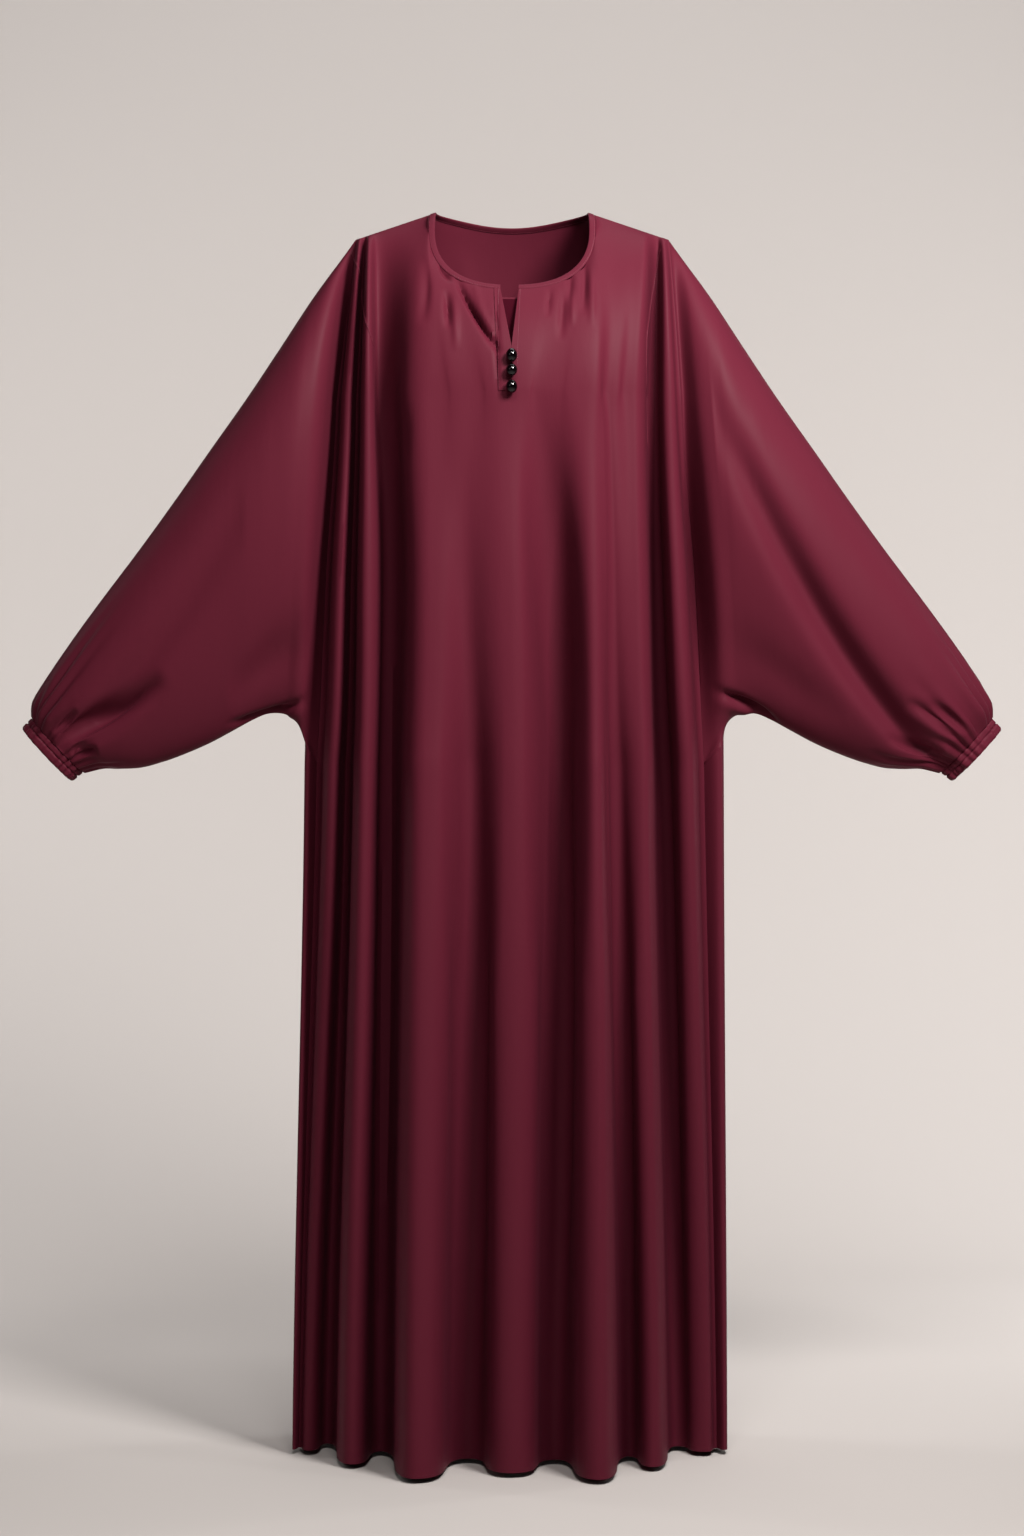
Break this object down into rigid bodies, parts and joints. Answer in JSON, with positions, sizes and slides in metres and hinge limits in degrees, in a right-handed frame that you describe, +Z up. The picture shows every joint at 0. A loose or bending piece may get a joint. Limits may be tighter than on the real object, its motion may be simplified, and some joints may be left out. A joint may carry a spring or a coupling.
{
  "type": "abaya",
  "caption": "Floor-length abaya in worn shape, with very wide sleeves gathered into elastic cuffs, a bound neck with a short buttoned slit, and deep hanging folds.",
  "frame": {"origin": "middle of the shoulders at the level of the neck points, where the wearer holds the garment up", "axes": "+Z up along the garment, +X to the wearer's left, -Y is the front"},
  "size_m": [1.1266, 0.348, 1.4208],
  "materials": {
    "satin_crepe": "soft satin",
    "button_gloss": "gloss"
  },
  "bodies": {
    "root": {"front": "satin_crepe", "back": "satin_crepe", "sleeve_right": "satin_crepe", "sleeve_left": "satin_crepe", "cuff_right": "satin_crepe", "cuff_left": "satin_crepe", "neck_binding": "satin_crepe", "placket": "satin_crepe", "slit_underlay": "satin_crepe", "button_top": "button_gloss", "button_middle": "button_gloss", "button_low": "button_gloss"}
  },
  "joints": []
}
